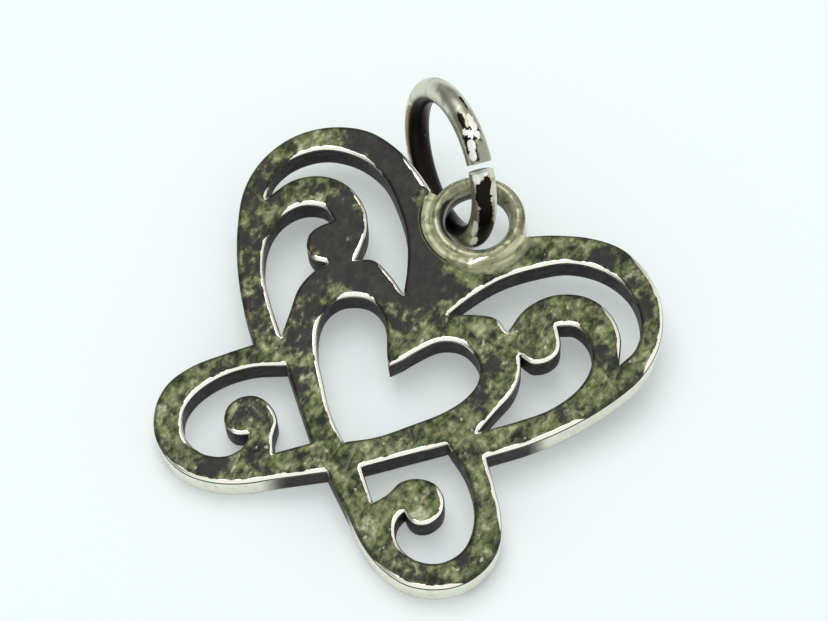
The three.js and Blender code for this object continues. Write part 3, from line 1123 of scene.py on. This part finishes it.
def satin_silver():
    """Smooth silver, a little tarnished, with painted shade in the bore and painted lines of highlight and shade.
    """
    material, tree, shader = finish_tree("satin_silver")
    blotch = placed(tree, BLOTCHES, Patches_per_metre=1700, Cover=0.52)["Mask"]
    lines = placed(tree, SCRATCHES, Lines_per_metre=7000, Cover=0.3)["Mask"]
    grains = placed(tree, GRANULES, Grains_per_metre=4200)
    dull = span(tree, grains["Tone"], low=0.5, high=0.4)
    white = attribute(tree, "outer_line")
    colour = coat(tree, srgb(178, 177, 143), blotch, (128, 127, 95))
    colour = coat(tree, colour, dull, (92, 92, 66), strength=0.55)
    colour = coat(tree, colour, lines, (214, 213, 186), strength=0.35)
    # Painted shade in the bore, a painted line of shade on the outer side, and painted highlights: a line in the
    # bore and a white line on the outer side
    colour = coat(tree, colour, attribute(tree, "in_bore"), (34, 31, 27))
    colour = coat(tree, colour, attribute(tree, "outer_shade"), (64, 66, 48), strength=0.75)
    colour = coat(tree, colour, attribute(tree, "bore_line"), (206, 204, 176), strength=0.85)
    colour = coat(tree, colour, white, (250, 247, 232))
    tree.links.new(colour, shader.inputs["Base Color"])
    tree.links.new(blend_value(tree, blotch, 0.32, 0.42), shader.inputs["Roughness"])
    tree.links.new(blend_value(tree, white, TARNISHED_METAL, BARE_METAL), shader.inputs["Metallic"])
    return material


def flowed_solder():
    """Solder as it flowed, with the plate's oxide showing where it is thin, painted glints and a painted highlight
    streak.
    """
    material, tree, shader = finish_tree("solder")
    blotch = placed(tree, BLOTCHES, Patches_per_metre=1300, Cover=0.55)["Mask"]
    grains = placed(tree, GRANULES, Grains_per_metre=3600)
    uneven = unevenness(tree, grains, 2.0)
    thin = span(tree, plus(tree, attribute(tree, "thin"), uneven), low=0.3, high=0.9)
    under = ramp(tree, grains["Tone"], [(0.38, (48, 52, 36)), (0.6, (132, 134, 100))])
    rubbed = attribute(tree, "rubbed")
    colour = coat(tree, srgb(170, 169, 134), blotch, (124, 125, 93))
    # Pale specks painted as glints
    colour = coat(tree, colour, grains["Speck"], (232, 231, 210), strength=0.7)
    colour = blend(tree, thin, colour, under)
    # The streak of painted highlight
    colour = coat(tree, colour, rubbed, (250, 247, 232))
    bump = node(
        tree, "ShaderNodeBump", {"Strength": 0.3, "Distance": GRAIN_HEIGHT, "Height": grains["Height"]}
    )
    tree.links.new(colour, shader.inputs["Base Color"])
    tree.links.new(blend_value(tree, rubbed, 0.38, RUBBED_ROUGH), shader.inputs["Roughness"])
    tree.links.new(blend_value(tree, rubbed, TARNISHED_METAL, BARE_METAL), shader.inputs["Metallic"])
    tree.links.new(bump.outputs["Normal"], shader.inputs["Normal"])
    return material


def polished_silver():
    """Polished wire, black on the inner side of the ring, with oxide and bright marks by the cut. The black and
    the oxide are partly painted dark reflection, the bright marks partly painted glints.
    """
    material, tree, shader = finish_tree("polished_silver")
    blotch = placed(tree, BLOTCHES, Patches_per_metre=1100, Cover=0.45)["Mask"]
    lines = placed(tree, SCRATCHES, Lines_per_metre=6000, Cover=0.3)["Mask"]
    grains = placed(tree, GRANULES, Grains_per_metre=7000)
    uneven = unevenness(tree, grains, 2.2)
    # The black inner side and the oxide patches are partly painted dark reflection; the bright marks are partly
    # painted glints
    inside = span(tree, attribute(tree, "toward_middle"), low=0.15, high=0.45)
    oxide, bright, amber, lower_left = (
        span(tree, plus(tree, attribute(tree, name), uneven), low=0.35, high=0.6)
        for name in ("oxide", "bright", "amber", "lower_left")
    )
    colour = coat(tree, srgb(216, 214, 194), blotch, (176, 174, 148))
    colour = coat(tree, colour, lines, (240, 238, 224), strength=0.4)
    colour = coat(tree, colour, attribute(tree, "worked"), (150, 148, 126), strength=0.7)
    colour = coat(tree, colour, amber, (138, 104, 66), strength=0.8)
    colour = coat(tree, colour, lower_left, (150, 138, 126), strength=0.7)
    colour = coat(tree, colour, most(tree, inside, oxide), (34, 30, 28))
    colour = coat(tree, colour, attribute(tree, "flat"), (158, 157, 140), strength=0.9)
    colour = coat(tree, colour, bright, (252, 250, 240))
    tree.links.new(colour, shader.inputs["Base Color"])
    tree.links.new(blend_value(tree, blotch, 0.34, 0.42), shader.inputs["Roughness"])
    tree.links.new(blend_value(tree, bright, BARE_METAL, WHITE_MARK_METAL), shader.inputs["Metallic"])
    return material


oxide = oxidised_silver()
satin = satin_silver()
solder = flowed_solder()
polish = polished_silver()

new_piece("openwork_plate_face", plate_mesh(), oxide, "charm", "openwork_plate")
new_piece("hanger_eye_ring", eye_mesh(satin), satin, "charm", "hanger_eye")
new_piece("solder_flow", solder_mesh(), solder, "charm", "solder_seam")
new_piece("jump_ring_wire", ring_mesh(polish), polish, "jump_ring", "jump_ring")


# The table, the light and the camera. Lengths of the table, the lamp and the lens's clipping are in metres

TABLE_HALF = 0.6
TABLE_GLOW = 0.3
SKY_LIGHT = 0.68
BRIGHT_SIDE = (*LIT_SIDE, 0.0)

# The camera's place in plate coordinates, its direction, and its lens and sensor in millimetres
VIEW_FROM = (25.02, -34.21, 102.22)
VIEW_TURN = math.radians(32.11)
VIEW_HEIGHT = math.radians(64.77)
VIEW_ROLL = math.radians(-4.0)
LENS = 124.35
SENSOR = 36
CLIP_START = 0.01


def table():
    """A matt white table, with part of its white as a glow that only looks and reflections see."""
    mesh = bpy.data.meshes.new("table")
    corners = [(x * TABLE_HALF, y * TABLE_HALF, 0) for x, y in ((-1, -1), (1, -1), (1, 1), (-1, 1))]
    mesh.from_pydata(corners, [], [(0, 1, 2, 3)])
    piece = bpy.data.objects.new("table", mesh)
    bpy.context.scene.collection.objects.link(piece)
    material, tree, shader = finish_tree("table_white")
    shader.inputs["Base Color"].default_value = srgb(245, 253, 251)
    shader.inputs["Roughness"].default_value = 0.9
    shader.inputs["Specular IOR Level"].default_value = 0.0
    ray = node(tree, "ShaderNodeLightPath").outputs
    seen = most(tree, ray["Is Camera Ray"], ray["Is Glossy Ray"])
    seen = most(tree, seen, ray["Is Transmission Ray"])
    white = node(tree, "ShaderNodeEmission", {"Color": srgb(248, 254, 253), "Strength": 1.0})
    share = times(tree, seen, TABLE_GLOW)
    mix = node(tree, "ShaderNodeMixShader", {0: share, 1: shader.outputs[0], 2: white.outputs[0]})
    out = next(n for n in tree.nodes if n.type == "OUTPUT_MATERIAL")
    tree.links.new(mix.outputs[0], out.inputs["Surface"])
    mesh.materials.append(material)


def lamp(name, way, distance, size, power):
    """A square soft lamp over the table, in the given direction from its middle and turned towards it."""
    data = bpy.data.lights.new(name, "AREA")
    data.size = size
    data.energy = power
    made = bpy.data.objects.new(name, data)
    bpy.context.scene.collection.objects.link(made)
    toward = Vector(way).normalized()
    made.location = toward * distance
    made.rotation_euler = toward.to_track_quat("Z", "Y").to_euler()


def sky():
    """Even light all round. Mirrored in the metal, it is bright from above and from one side only."""
    world = bpy.data.worlds.new("studio")
    bpy.context.scene.world = world
    world.use_nodes = True
    tree = world.node_tree
    ground = next(n for n in tree.nodes if n.type == "BACKGROUND")
    ground.inputs["Color"].default_value = srgb(248, 252, 255)
    way = node(tree, "ShaderNodeTexCoord").outputs["Generated"]
    up = node(tree, "ShaderNodeSeparateXYZ", {0: way}).outputs["Z"]
    sideways = node(tree, "ShaderNodeVectorMath", {0: way, 1: BRIGHT_SIDE}, operation="DOT_PRODUCT")
    walls = span(tree, sideways.outputs["Value"], low=-0.4, high=0.25, out_low=0.22, out_high=1.0)
    ceiling = span(tree, up, low=0.5, high=0.85, out_low=0.0, out_high=0.88)
    mirrored = node(tree, "ShaderNodeLightPath").outputs["Is Glossy Ray"]
    strength = blend_value(tree, mirrored, SKY_LIGHT, most(tree, walls, ceiling))
    tree.links.new(strength, ground.inputs["Strength"])


def camera():
    data = bpy.data.cameras.new("camera")
    data.sensor_width = SENSOR
    data.lens = LENS
    data.clip_start = CLIP_START
    made = bpy.data.objects.new("camera", data)
    bpy.context.scene.collection.objects.link(made)
    back = Vector(
        (
            math.cos(VIEW_HEIGHT) * math.sin(VIEW_TURN),
            -math.cos(VIEW_HEIGHT) * math.cos(VIEW_TURN),
            math.sin(VIEW_HEIGHT),
        )
    )
    level = Vector((math.cos(VIEW_TURN), math.sin(VIEW_TURN), 0))
    upright = back.cross(level)
    right = level * math.cos(VIEW_ROLL) + upright * math.sin(VIEW_ROLL)
    turn = PLATE_TURN @ Matrix((right, back.cross(right), back)).transposed()
    made.matrix_world = Matrix.Translation(PLATE @ Vector(VIEW_FROM)) @ turn.to_4x4()
    bpy.context.scene.camera = made


table()
lamp("window", way=(-0.25, 0.2, 0.95), distance=0.3, size=0.2, power=0.36)
sky()
camera()
bpy.context.scene.view_settings.view_transform = "Standard"
